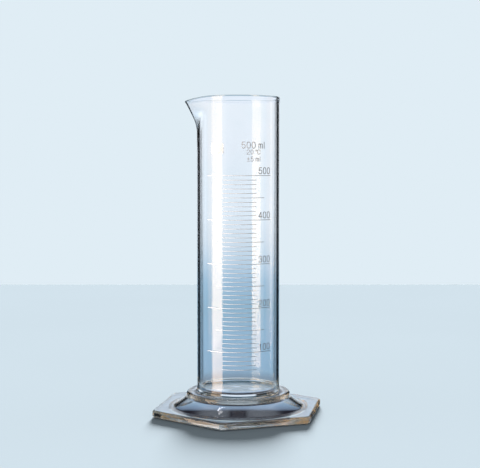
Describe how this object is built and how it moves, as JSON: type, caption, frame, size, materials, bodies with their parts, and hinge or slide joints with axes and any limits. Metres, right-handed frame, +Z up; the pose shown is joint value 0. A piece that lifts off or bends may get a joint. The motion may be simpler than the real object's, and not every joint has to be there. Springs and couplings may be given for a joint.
{
  "type": "graduated measuring cylinder",
  "caption": "Squat clear glass measuring cylinder with a pouring spout, a printed enamel scale and a pressed hexagonal glass foot.",
  "frame": {"origin": "on the tube's axis, on the surface that the foot stands on", "axes": "+Z up along the tube's axis; the spout points to -X and the scale faces -Y"},
  "size_m": [0.1348, 0.1402, 0.2513],
  "materials": {
    "tube_glass": "clear drawn borosilicate glass, fire-polished, with a faint streak along its length",
    "pressed_glass": "clear pressed borosilicate glass, faintly warm in its thick edges, gently rippled",
    "scale_enamel": "fired ceramic enamel, pale grey-beige, satin, slightly mottled"
  },
  "bodies": {
    "root": {"measuring_tube": "tube_glass", "hexagonal_foot": "pressed_glass", "fused_collar": "pressed_glass", "hundred_lines": "scale_enamel", "fifty_lines": "scale_enamel", "ten_lines": "scale_enamel", "numeral_100": "scale_enamel", "numeral_200": "scale_enamel", "numeral_300": "scale_enamel", "numeral_400": "scale_enamel", "numeral_500": "scale_enamel", "capacity_inscription": "scale_enamel", "temperature_inscription": "scale_enamel", "tolerance_inscription": "scale_enamel", "writing_patch": "scale_enamel"}
  },
  "joints": []
}
